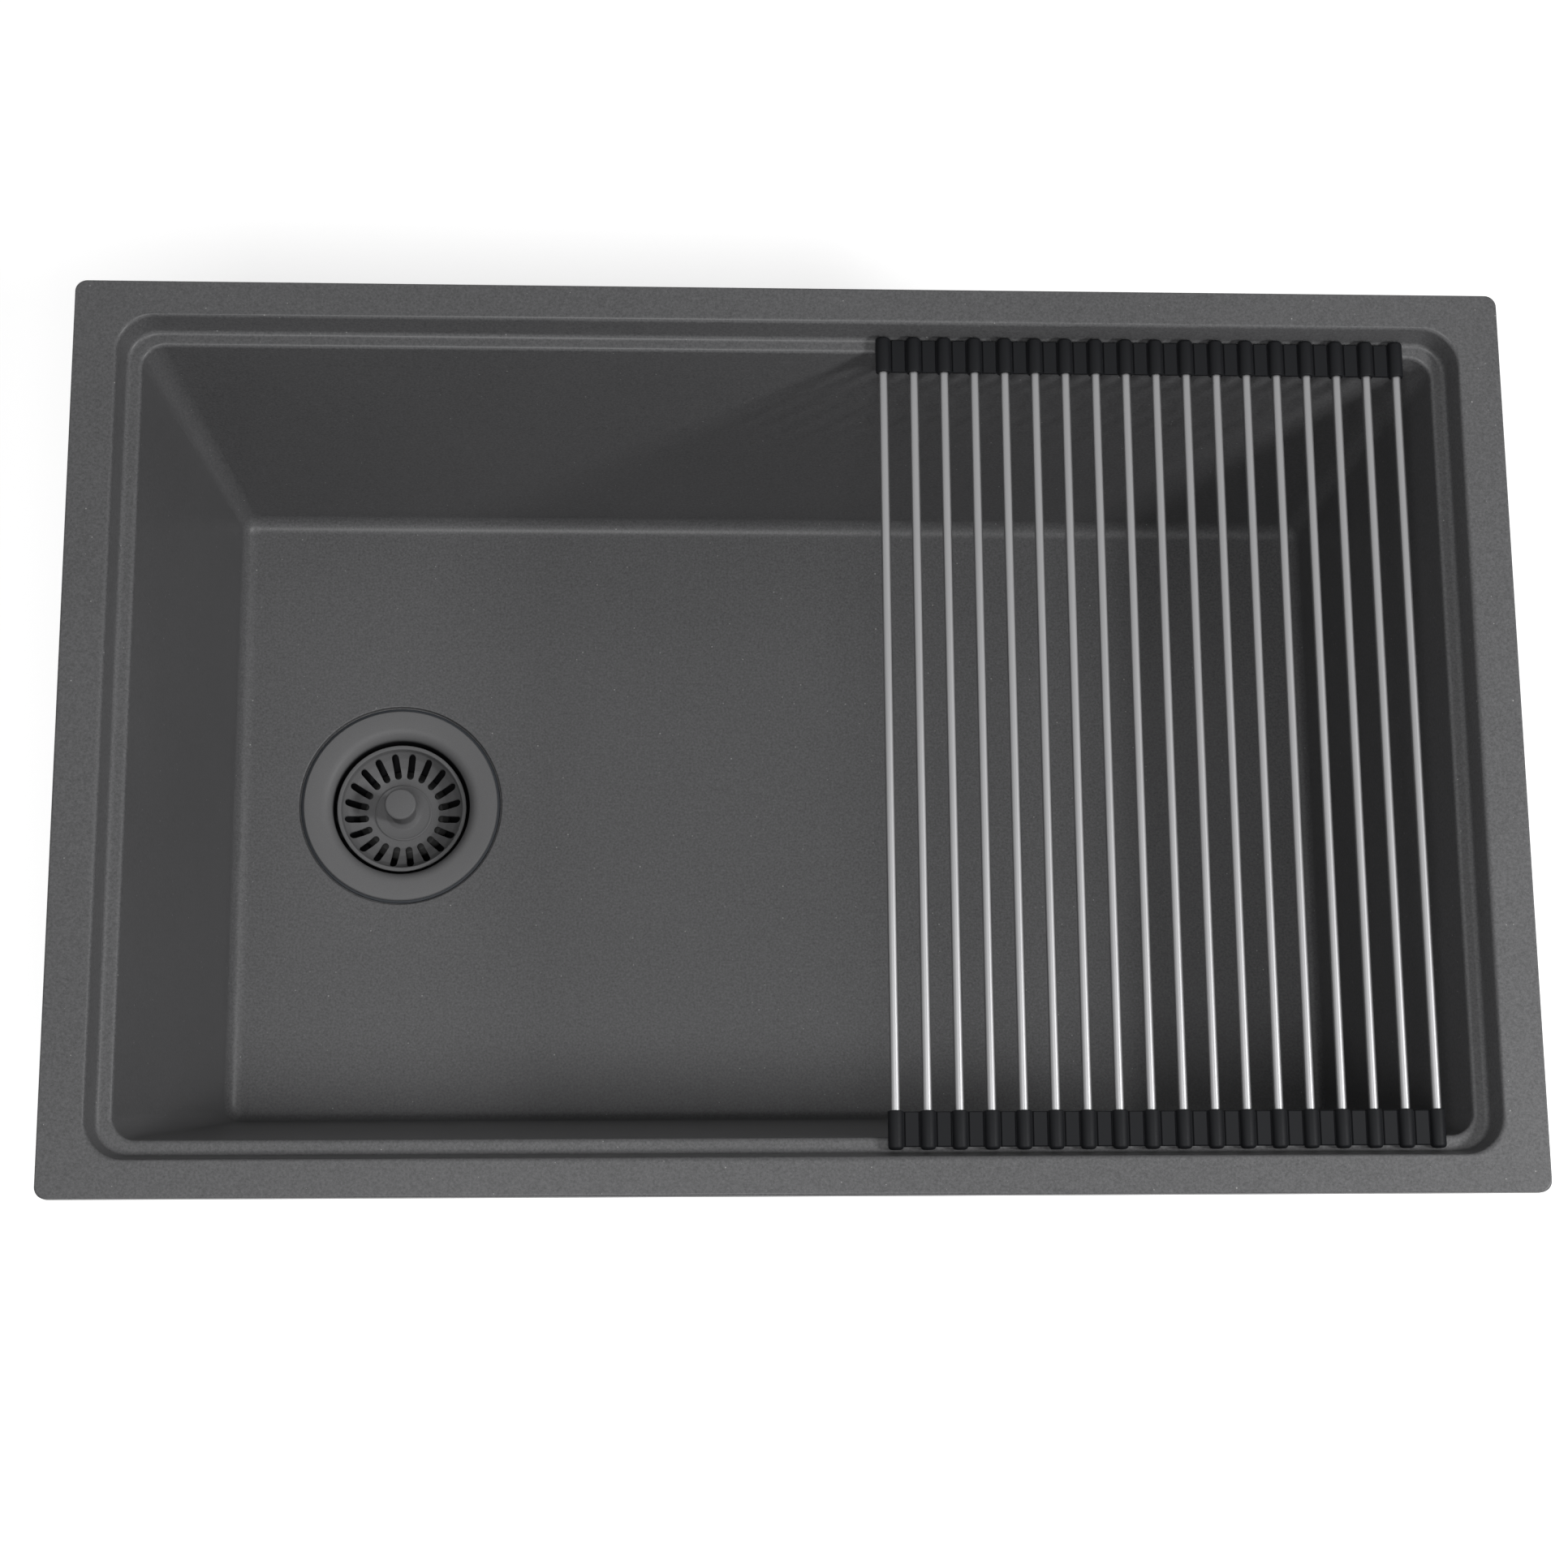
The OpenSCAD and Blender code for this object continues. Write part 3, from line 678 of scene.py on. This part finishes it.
hub = at_drain("hub", outline(
    (hub_bore, HUB_Z, 0.4), (HUB_R, HUB_Z, 0.8), (HUB_R, HUB_Z + HUB_T, 0.8),
    (hub_bore, HUB_Z + HUB_T, 0.6)), 64)
arm = extruded("arm", outline(
    (-ARM_HALF, HUB_Z, ARM_ROUND), (ARM_HALF, HUB_Z, ARM_ROUND), (ARM_HALF, HUB_Z + HUB_T, ARM_ROUND),
    (-ARM_HALF, HUB_Z + HUB_T, ARM_ROUND)), HUB_R - 0.6, OUTLET_R + 0.6, 0.1, (1, 2, 0))
arms = round_drain("arms", arm, ARMS, throat)
piece("strainer_cup", joined("strainer_cup", strainer, hub, arms), throat, "basin",
      ["strainer_body"])


# ---- Seals, nuts and tailpiece ---------------------------------------------------------
# A rubber ring seals the flange in its pocket. Under the floor a rubber washer and a fibre
# ring take the locknut's pressure, and a plastic coupling nut holds the flanged waste tube.
seal_black = grainy("seal_rubber", (0.020, 0.024, 0.030), (0.42, 0.60), 0.02, 0.0,
                    {"Grains": 800.0, "Contrast": 0.3, "Cloud": 0.2}, Specular_IOR_Level=0.35)
PLAY = 0.05
SEAL_R, SEAL_FOOT, SEAL_TOP = 58.7, -2.98, -1.82
seal = at_drain("seal", outline(
    (DRAIN_HOLE_R + PLAY, SEAL_FOOT, 0.2), (SEAL_R, SEAL_FOOT, 0.4), (SEAL_R, SEAL_TOP, 0.5),
    (DRAIN_HOLE_R + PLAY, SEAL_TOP, 0.2)), 160)
piece("flange_seal", seal, seal_black, "basin", ["drain_sealing_ring"])
WASHER_R, WASHER_FOOT = 54, -16
washer_in = CUP_R + 0.4
washer = at_drain("washer", outline(
    (washer_in, WASHER_FOOT, 0.3), (WASHER_R, WASHER_FOOT, 0.9), (WASHER_R, -floor_t, 0.9),
    (washer_in, -floor_t, 0.3)))
piece("rubber_washer", washer, seal_black, "basin", ["drain_rubber_washer"])

fibre = grainy("pressed_fibre", (0.50, 0.42, 0.28), (0.75, 0.95), 0.05, 0.0,
               {"Grains": 350.0, "Contrast": 0.7, "Cloud": 0.4}, Specular_IOR_Level=0.2)
FIBRE_R, FIBRE_FOOT = 52, -17.2
ring = at_drain("fibre_ring", outline(
    (washer_in, FIBRE_FOOT, 0.1), (FIBRE_R, FIBRE_FOOT, 0.3), (FIBRE_R, WASHER_FOOT, 0.3),
    (washer_in, WASHER_FOOT, 0.1)))
piece("friction_ring", ring, fibre, "basin", ["drain_friction_ring"])

NUT_R, NUT_FOOT = 49, -27.2
# half a lug's width where it starts and ends, and how far it stands out
LUGS, LUG_ROOT, LUG_TIP, LUG_OUT = 8, 5.4, 4.6, 4.5
nut = at_drain("locknut", outline(
    (CUP_R + PLAY, NUT_FOOT, 0.6), (NUT_R, NUT_FOOT, 1), (NUT_R, FIBRE_FOOT, 0.8),
    (CUP_R + PLAY, FIBRE_FOOT, 0.6)))
lug = extruded("lug", outline(
    (NUT_R - 0.6, -LUG_ROOT, 0), (NUT_R + LUG_OUT, -LUG_TIP, 1.4), (NUT_R + LUG_OUT, LUG_TIP, 1.4),
    (NUT_R - 0.6, LUG_ROOT, 0)), NUT_FOOT, FIBRE_FOOT - 3, 0.6)
piece("locknut", joined("locknut", nut, round_drain("lugs", lug, LUGS, zinc)), zinc, "basin",
      ["drain_locknut"])

black_plastic = grainy("moulded_black", (0.020, 0.020, 0.022), (0.32, 0.46), 0.02, 0.0,
                       {"Grains": 700.0, "Contrast": 0.3, "Cloud": 0.1})
COUPLING_R, COUPLING_TOP, COUPLING_FOOT, LIP_T = 29, -58.8, -78.8, 3
RIBS, RIB_ROOT, RIB_TIP, RIB_OUT = 12, 2.5, 1.9, 2.4
TAIL_R, TAIL_IN, TAIL_END = 19.05, 17.85, -176.2
coupling_bore = TAIL_R + 0.4
coupling = at_drain("coupling", outline(
    (coupling_bore, COUPLING_FOOT, 0.4), (COUPLING_R, COUPLING_FOOT, 1.5), (COUPLING_R, COUPLING_TOP, 1.2),
    (NIPPLE_R + PLAY, COUPLING_TOP, 0.6), (NIPPLE_R + PLAY, COUPLING_FOOT + LIP_T, 0.3),
    (coupling_bore, COUPLING_FOOT + LIP_T, 0.3)))
rib = extruded("rib", outline(
    (COUPLING_R - 0.5, -RIB_ROOT, 0), (COUPLING_R + RIB_OUT, -RIB_TIP, 1.1),
    (COUPLING_R + RIB_OUT, RIB_TIP, 1.1), (COUPLING_R - 0.5, RIB_ROOT, 0)),
    COUPLING_FOOT + 0.3, COUPLING_TOP - 2, 0.8)
piece("coupling_ring", joined("coupling_ring", coupling, round_drain("ribs", rib, RIBS, black_plastic)),
      black_plastic, "basin", ["coupling_nut"])

white_plastic = grainy("moulded_white", (0.70, 0.70, 0.67), (0.35, 0.5), 0.02, 0.0,
                       {"Grains": 500.0, "Contrast": 0.1, "Cloud": 0.06})
COLLAR_R = 23.2
SLIP_TOP, SLIP_FOOT = -72.22, -74.18
slip = at_drain("slip_washer", outline(
    (TAIL_IN, SLIP_FOOT, 0.2), (COLLAR_R, SLIP_FOOT, 0.2), (COLLAR_R, SLIP_TOP, 0.4),
    (TAIL_IN, SLIP_TOP, 0.2)), 96)
piece("slip_washer", slip, white_plastic, "basin", ["tailpiece_washer"])

# the lines that drawing, rolling or brushing leaves, as a shade round 1 and a height
drawn, given, put = group(
    "drawn_lines",
    [("Vector", "Vector", None), ("Stretch", "Vector", (1, 1, 1)), ("Contrast", "Float", 0.2)],
    [("Shade", "Float"), ("Height", "Float")])
stretched = add(drawn, "ShaderNodeVectorMath", {0: given["Vector"], 1: given["Stretch"]},
                operation="MULTIPLY")
lines = add(drawn, "ShaderNodeTexNoise",
            {"Vector": stretched.outputs[0], "Scale": 1.0, "Detail": 4.0, "Roughness": 0.65})
shade = swing(drawn, lines.outputs[0], given["Contrast"])
drawn.links.new(math_node(drawn, "ADD", shade, 1.0), put["Shade"])
drawn.links.new(lines.outputs[0], put["Height"])


def brushed(name, colour, rough, relief, stretch, contrast):
    """A metal finish with fine lines. Stretch is how many of them cross a metre along each axis."""
    made, tree, principled, place = material(name, 1.0)
    use = add(tree, "ShaderNodeGroup", {"Vector": place, "Stretch": stretch, "Contrast": contrast},
              node_tree=drawn)
    finished(tree, principled, colour, use.outputs, rough, relief)
    return made


tube_steel = brushed("waste_tube_steel", (0.58, 0.59, 0.60), (0.20, 0.34), 0.01,
                     (30.0, 30.0, 2600.0), 0.14)
TUBE_TOP, COLLAR_FOOT = -74.2, -75.8
tube = at_drain("tailpiece_tube", outline(
    (TAIL_IN, TAIL_END, 0.3), (TAIL_R, TAIL_END, 0.4), (TAIL_R, -80.3, 0.5), (TAIL_R + 0.2, -79.9, 0.3),
    (TAIL_R + 0.2, COLLAR_FOOT, 0.2), (COLLAR_R, COLLAR_FOOT, 0.3), (COLLAR_R, TUBE_TOP, 0.3),
    (TAIL_IN, TUBE_TOP, 0.6)))
piece("tailpiece_tube", tube, tube_steel, "basin", ["tailpiece"])


# ---- Basket ----------------------------------------------------------------------------
# A pressed cup with twenty slots, coated like the strainer, on a post with a knob to lift it
# by. A rubber stopper under it closes the drain, held on the post by a spring ring.
BASKET_R, BASKET_BORE = 38.2, 3.94
BASKET_TOP, BASKET_BASE, BOSS_FOOT, BOSS_R = -9, -24, -29, 9
coat = grainy("matching_coat", (0.160, 0.160, 0.163), COAT_ROUGH, COAT_RELIEF, 0.0, COAT_GRAIN,
              Specular_IOR_Level=COAT_SHINE)
cup = at_drain("basket", outline(
    # inside, from the post up to the rim
    (BASKET_BORE, BASKET_BASE, 0.1), (21.3, BASKET_BASE, 2), (26.5, -22.4, 5), (32.2, -18.2, 5),
    (35.2, -13.6, 3), (35.8, -9.3, 0.5), (36.2, BASKET_TOP, 0.5),
    # over the rim, down the outside and the boss round the post
    (BASKET_R, BASKET_TOP, 0.6), (BASKET_R, -10.6, 0.5), (37.3, -11.3, 0.6), (36.6, -14, 2),
    (33.0, -19.4, 4), (27.1, -23.9, 4), (21.8, -25.4, 2), (BOSS_R, -25.4, 1), (BOSS_R, BOSS_FOOT, 0.4),
    (BASKET_BORE, BOSS_FOOT, 0.1)), 160)
SLOTS, SLOT_R, SLOT_FROM, SLOT_TO = 20, 2.1, 22.9, 32.6
slot_in, slot_out = SLOT_FROM - SLOT_R, SLOT_TO + SLOT_R
slot = extruded("slot", outline(
    (slot_in, -SLOT_R, SLOT_R), (slot_out, -SLOT_R, SLOT_R), (slot_out, SLOT_R, SLOT_R),
    (slot_in, SLOT_R, SLOT_R)), -28, -10, 0.1)
cup = carved("basket", cup, round_drain("slots", slot, SLOTS, coat, math.pi / SLOTS))
piece("basket_bowl", cup, coat, "strainer_basket", ["basket_cup"])

KNOB_R, PLATE_R, PLATE_TOP, POST_FOOT = 9.3, 17, -23.1, -52.2
post = at_drain("post", outline(
    # the post up to the plate, and the plate with its raised edge
    (0, POST_FOOT, 0), (POST_R, POST_FOOT, 1.2), (POST_R, BASKET_BASE, 0.1), (PLATE_R, BASKET_BASE, 0.1),
    (PLATE_R, PLATE_TOP, 0.4), (PLATE_R - 0.7, -22.8, 0.4), (PLATE_R - 1.6, PLATE_TOP, 0.5),
    # the neck and the knob
    (10.4, PLATE_TOP, 2), (7.4, -21, 2), (7.2, -1.2, 1.2), (KNOB_R, -0.2, 0.8), (KNOB_R, 3.0, 1.3),
    (KNOB_R - 2.6, 3.05, 1.5), (5.6, 3.2, 2), (0, 3.3, 0)), 128)
piece("basket_knob", post, coat, "strainer_basket", ["basket_post"])

stopper_rubber = grainy("stopper_rubber", (0.016, 0.016, 0.016), (0.45, 0.62), 0.02, 0.0,
                        {"Grains": 700.0, "Contrast": 0.25, "Cloud": 0.2}, Specular_IOR_Level=0.35)
STOPPER_R, STOPPER_FOOT = 27, -33.5
stopper = at_drain("stopper", outline(
    (BASKET_BORE, STOPPER_FOOT, 0.3), (12, STOPPER_FOOT, 1), (24, -36.3, 0.8), (STOPPER_R, -35.3, 0.8),
    (STOPPER_R, -31, 1.5), (23, BOSS_FOOT, 1.5), (BASKET_BORE, BOSS_FOOT, 0.3)))
piece("stopper_disc", stopper, stopper_rubber, "strainer_basket", ["basket_stopper"])
SPRING_R, SPRING_FOOT = 9, -35
spring_ring = at_drain("spring_ring", outline(
    (BASKET_BORE, SPRING_FOOT, 0.3), (SPRING_R, SPRING_FOOT, 0.5), (SPRING_R, STOPPER_FOOT, 0.4),
    (BASKET_BORE, STOPPER_FOOT, 0.3)))
piece("spring_ring", spring_ring, zinc, "strainer_basket", ["basket_retaining_ring"])


# ---- Rack ------------------------------------------------------------------------------
# Eighteen satin stainless rods lie on the ledge. Their ends sit in the sleeves of two black
# silicone strips, and the thin webs between the sleeves bend, so that the rack rolls up.
rods = len([name for name in frame["nodes"] if name.startswith("rack_rod_")])
first_low, first_high = (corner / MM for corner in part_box("rack_rod_01"))
last_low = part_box(f"rack_rod_{rods:02d}")[0] / MM
rod_r = (first_high.x - first_low.x) / 2
first_rod = (first_low + first_high) / 2
pitch = (last_low.x - first_low.x) / (rods - 1)
rod_end = first_high.y
SLEEVE_R, SLEEVE_IN, SLEEVE_OUT = 4, 198, 217.8
ROD_SIDES = 40

# a copy of a template at one place of a row along X
row_member, given, put, shape = placing_tree(
    "row_member",
    [("Count", "Int", 2), ("Pitch", "Float", 0.01), ("First", "Vector", (0, 0, 0)), ("Member", "Int", 0)])
step = add(row_member, "ShaderNodeCombineXYZ", {"X": given["Pitch"]}).outputs[0]
row = add(row_member, "GeometryNodeMeshLine",
          {"Count": given["Count"], "Start Location": given["First"], "Offset": step})
index = add(row_member, "GeometryNodeInputIndex").outputs[0]
chosen = add(row_member, "FunctionNodeCompare", {2: index, 3: given["Member"]},
             data_type="INT", operation="EQUAL")
copies = add(row_member, "GeometryNodeInstanceOnPoints",
             {"Points": row.outputs[0], "Selection": chosen.outputs[0], "Instance": shape})
end_tree(row_member, given, put, copies.outputs[0])


def member(name, template, finish, number, shift=0.0):
    """The copy of a template at one rod of the rack, shifted to the right by a share of the pitch."""
    first = (first_rod.x * MM + shift * pitch * MM, 0, first_rod.z * MM)
    return grown(name, row_member, {"Template": template, "Finish": finish, "Count": rods,
                                    "Pitch": pitch * MM, "First": first, "Member": number - 1})


def lying(name, path):
    """A path of (radius, distance) turned round an axis that runs front to back."""
    mesh = turned(name, path, count=ROD_SIDES)
    mesh.transform(Matrix.Rotation(-math.pi / 2, 4, "X"))
    return mesh


def at_both_ends(name, mesh):
    """A mesh at the rack's back end, with its copy at the front end."""
    other = mesh.copy()
    other.transform(Matrix.Rotation(math.pi, 4, "Z"))
    return joined(name, mesh, other)


rod_steel = brushed("rod_steel", (0.29, 0.29, 0.295), (0.38, 0.50), 0.012, (2200.0, 16.0, 2200.0), 0.12)
silicone = grainy("strip_silicone", (0.011, 0.0115, 0.013), (0.44, 0.58), 0.02, 0.0,
                  {"Grains": 900.0, "Contrast": 0.25, "Cloud": 0.1}, Specular_IOR_Level=0.12)
rod = lying("rod", outline(
    (0, -rod_end, 0), (rod_r, -rod_end, 0.4), (rod_r, rod_end, 0.4), (0, rod_end, 0)))
bore_r, bore_end = rod_r + 0.03, rod_end + 0.1
sleeve = lying("sleeve", outline(
    (0, bore_end, 0), (bore_r, bore_end, 0.2), (bore_r, SLEEVE_IN, 0.3), (SLEEVE_R, SLEEVE_IN, 1.1),
    (SLEEVE_R, SLEEVE_OUT, 1.7), (0, SLEEVE_OUT, 0)))
sleeves = at_both_ends("sleeves", sleeve)

# the web's section: a flat panel with a groove on each side, its ends sunk into the sleeves
WEB_T, WEB_TOP = 2.6, 1.1
WEB_FROM, WEB_TO = SLEEVE_IN + 0.5, SLEEVE_OUT - 1.4
PANEL, GROOVE, GROOVE_RUN, SUNK = 3.3, 0.7, 0.7, 5.8


def web_top(x):
    """The web's height above the rods' axes, at a distance from its middle."""
    dip = min(1, max(0, (abs(x) - PANEL) / GROOVE_RUN))
    return WEB_TOP - GROOVE * dip * dip * (3 - 2 * dip)


web_x = np.linspace(-SUNK, SUNK, 33)
section = np.array([(x, web_top(x)) for x in web_x[::-1]]
                   + [(x, WEB_TOP - WEB_T + 0.5 * (WEB_TOP - web_top(x))) for x in web_x])
webs = at_both_ends("webs", extruded("web", section, WEB_FROM, WEB_TO, 0.5, (0, 2, 1)))

rod = held("rod_template", rod)
sleeves = held("sleeve_template", sleeves)
webs = held("web_template", webs)
hinges = {joint["child"]: joint["pos_m"] for joint in frame["record"]["behaviour"]["joints"]
          if joint["type"] == "hinge"}
for number in range(1, rods + 1):
    link = f"rack_link_{number:02d}"
    piece(f"rod_{number:02d}", member("rod", rod, rod_steel, number), rod_steel, link,
          [f"rack_rod_{number:02d}"])
    piece(f"sleeves_{number:02d}", member("sleeves", sleeves, silicone, number), silicone, link,
          [f"rack_grip_{number:02d}"])
    if number == rods:
        continue
    # the webs between this rod and the next, as an object of their own, baked where they lie
    strip = held(f"webs_{number:02d}", member("webs", webs, silicone, number, 0.5))
    x, y, z = hinges[link]
    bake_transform(strip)
for template in (rod, sleeves, webs):
    bpy.data.objects.remove(template)
